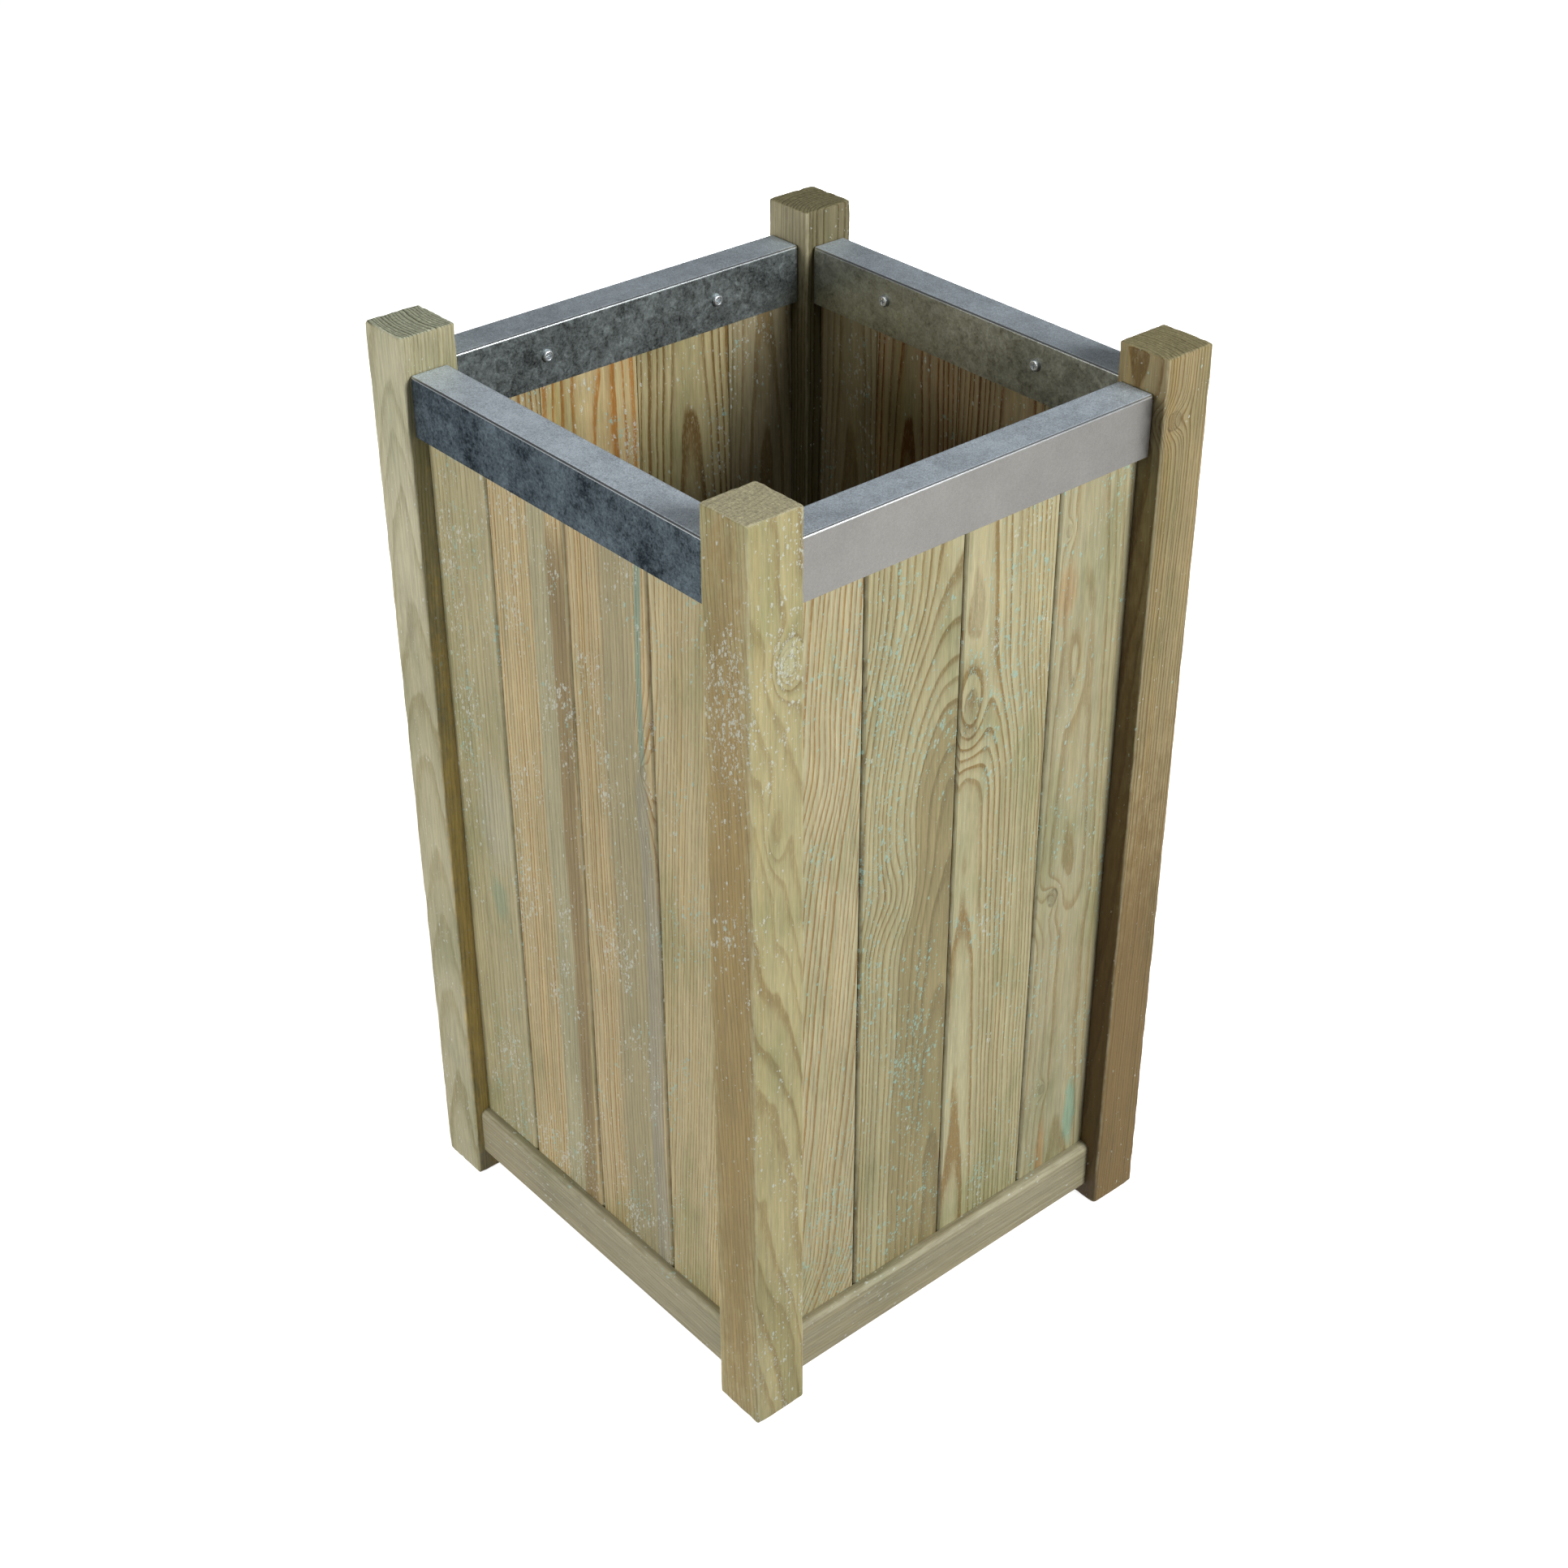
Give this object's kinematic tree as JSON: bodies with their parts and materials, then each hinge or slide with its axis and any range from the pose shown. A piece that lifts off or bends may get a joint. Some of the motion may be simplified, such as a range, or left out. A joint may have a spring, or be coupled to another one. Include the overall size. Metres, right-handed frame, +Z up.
{
  "type": "planter box",
  "caption": "Square timber planter: corner posts, tongued-and-grooved board sides in grooved rails, folded galvanised rims and a slatted floor.",
  "frame": {"origin": "middle of the footprint, on the ground under the four feet", "axes": "+Z up along the posts; the front is -Y, the right side is +X, as seen from the front"},
  "size_m": [0.433, 0.433, 0.796],
  "materials": {
    "post_timber": "pressure-treated softwood, planed, eased edges",
    "board_timber": "pressure-treated softwood boards, planed, visible grain",
    "rail_timber": "pressure-treated softwood, planed",
    "floor_timber": "pressure-treated softwood, sawn",
    "galvanised_sheet": "hot-dip galvanised, fine spangle, satin",
    "zinc_screw": "bright zinc plated"
  },
  "bodies": {
    "root": {"post_front_left": "post_timber", "post_front_right": "post_timber", "post_back_right": "post_timber", "post_back_left": "post_timber", "bottom_rail_front": "rail_timber", "top_rail_front": "rail_timber", "rim_front": "galvanised_sheet", "board_front_1": "board_timber", "board_front_2": "board_timber", "board_front_3": "board_timber", "board_front_4": "board_timber", "bottom_rail_right": "rail_timber", "top_rail_right": "rail_timber", "rim_right": "galvanised_sheet", "board_right_1": "board_timber", "board_right_2": "board_timber", "board_right_3": "board_timber", "board_right_4": "board_timber", "bottom_rail_back": "rail_timber", "top_rail_back": "rail_timber", "rim_back": "galvanised_sheet", "board_back_1": "board_timber", "board_back_2": "board_timber", "board_back_3": "board_timber", "board_back_4": "board_timber", "bottom_rail_left": "rail_timber", "top_rail_left": "rail_timber", "rim_left": "galvanised_sheet", "board_left_1": "board_timber", "board_left_2": "board_timber", "board_left_3": "board_timber", "board_left_4": "board_timber", "rim_screws": "zinc_screw", "floor_batten_left": "floor_timber", "floor_batten_right": "floor_timber", "floor_slat_1": "floor_timber", "floor_slat_2": "floor_timber", "floor_slat_3": "floor_timber", "floor_slat_4": "floor_timber", "floor_screws": "zinc_screw", "batten_screws": "zinc_screw"}
  },
  "joints": []
}
